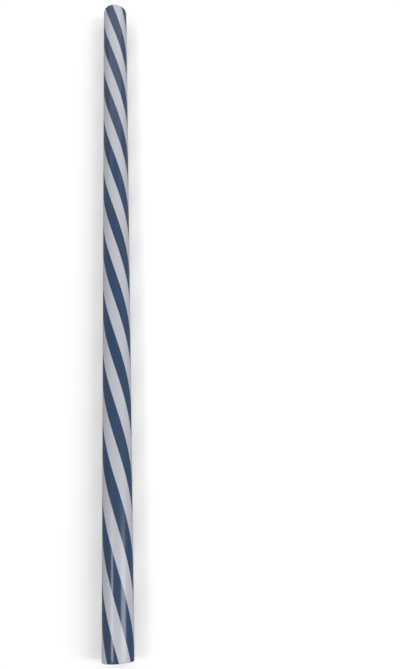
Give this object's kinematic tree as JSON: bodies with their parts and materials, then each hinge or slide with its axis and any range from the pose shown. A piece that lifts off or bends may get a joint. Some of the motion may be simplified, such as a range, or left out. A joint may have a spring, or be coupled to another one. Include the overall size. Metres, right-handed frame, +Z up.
{
  "type": "reusable plastic straw",
  "caption": "Straight stiff plastic drinking tube, open at both ends, with coloured stripes that wind left-handed round its white wall from end to end.",
  "frame": {"origin": "under the middle of the straw, on the surface it lies on", "axes": "+Y along the tube, from the near end to the far end, +Z up from the surface it lies on, and +X across it"},
  "size_m": [0.009, 0.235, 0.009],
  "materials": {
    "white_plastic": "smooth, glossy, opaque white",
    "navy_plastic": "smooth, glossy, opaque navy blue"
  },
  "bodies": {
    "root": {"tube": "white_plastic", "stripe_1": "navy_plastic", "stripe_2": "navy_plastic", "stripe_3": "navy_plastic", "stripe_4": "navy_plastic"}
  },
  "joints": []
}
